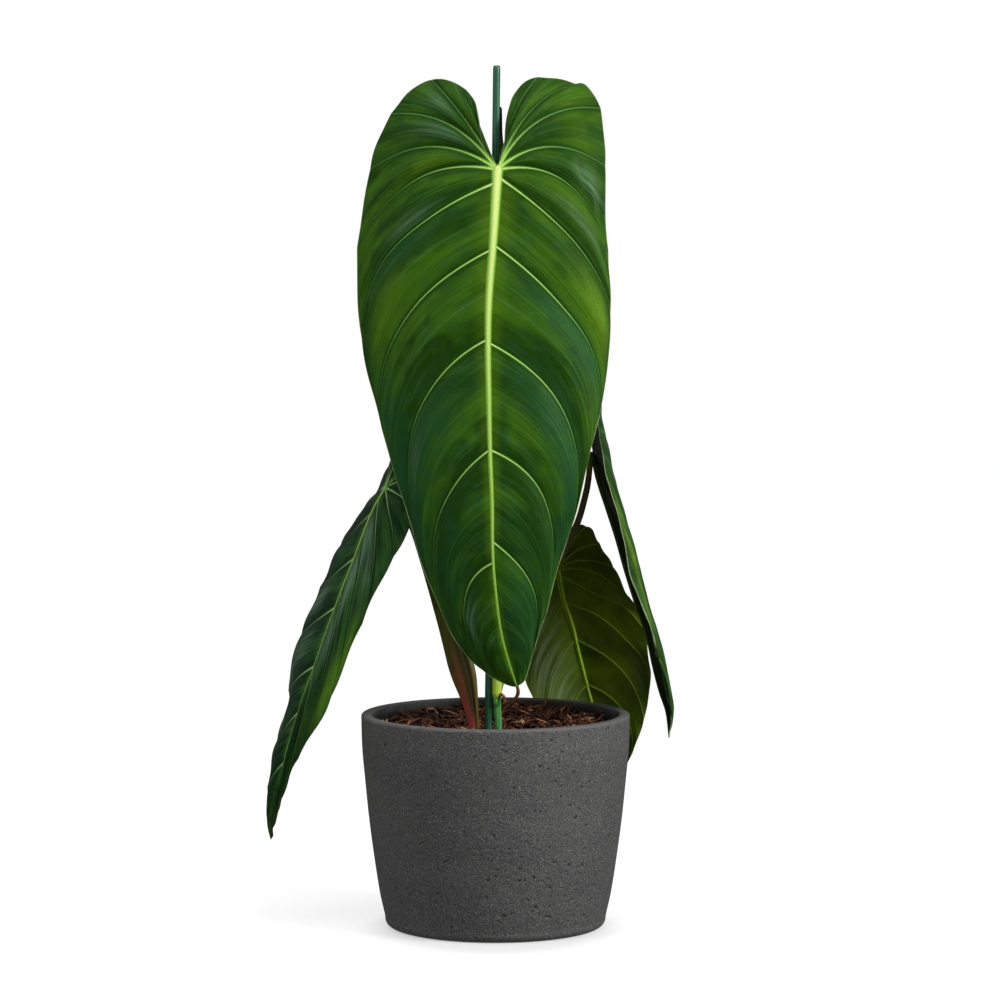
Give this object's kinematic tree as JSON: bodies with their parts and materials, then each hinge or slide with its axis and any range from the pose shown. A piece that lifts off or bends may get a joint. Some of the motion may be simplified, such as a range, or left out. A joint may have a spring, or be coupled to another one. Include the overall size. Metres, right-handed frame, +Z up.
{
  "type": "potted black gold philodendron",
  "caption": "Velvet-leaved climbing aroid on a slim stake in a tapered fibre-clay pot; heart-shaped pendant leaves with pale ribs hang on long stalks.",
  "frame": {"origin": "centre of the pot's flat underside, on the surface it stands on", "axes": "+Z up along the stake, -Y towards the viewer of the front, where the large leaf hangs, +X to the viewer's right; metres"},
  "size_m": [0.2615, 0.1974, 0.543],
  "materials": {
    "pot_clay": "matt charcoal fibre clay, fine speckle and pits",
    "soil": "moist coir chips and bark, rough",
    "stake": "green plastic coating, semi-gloss",
    "stem": "fresh green stem, satin",
    "petiole": "brown-green leaf stalk, satin",
    "dry_root": "dry brown root bark, matt",
    "leaf_front": "velvet deep green with pale yellow-green ribs",
    "leaf_side": "velvet dark blue-green with pale ribs, paler beneath"
  },
  "bodies": {
    "root": {"pot": "pot_clay", "substrate": "soil", "stake": "stake", "stem": "stem", "petiole_main": "petiole", "petiole_left": "petiole", "petiole_right": "petiole", "petiole_back": "petiole", "aerial_root": "dry_root", "dry_leaf_scale": "dry_root", "leaf_main": "leaf_front", "leaf_left": "leaf_side", "leaf_right": "leaf_side", "leaf_back": "leaf_side"}
  },
  "joints": []
}
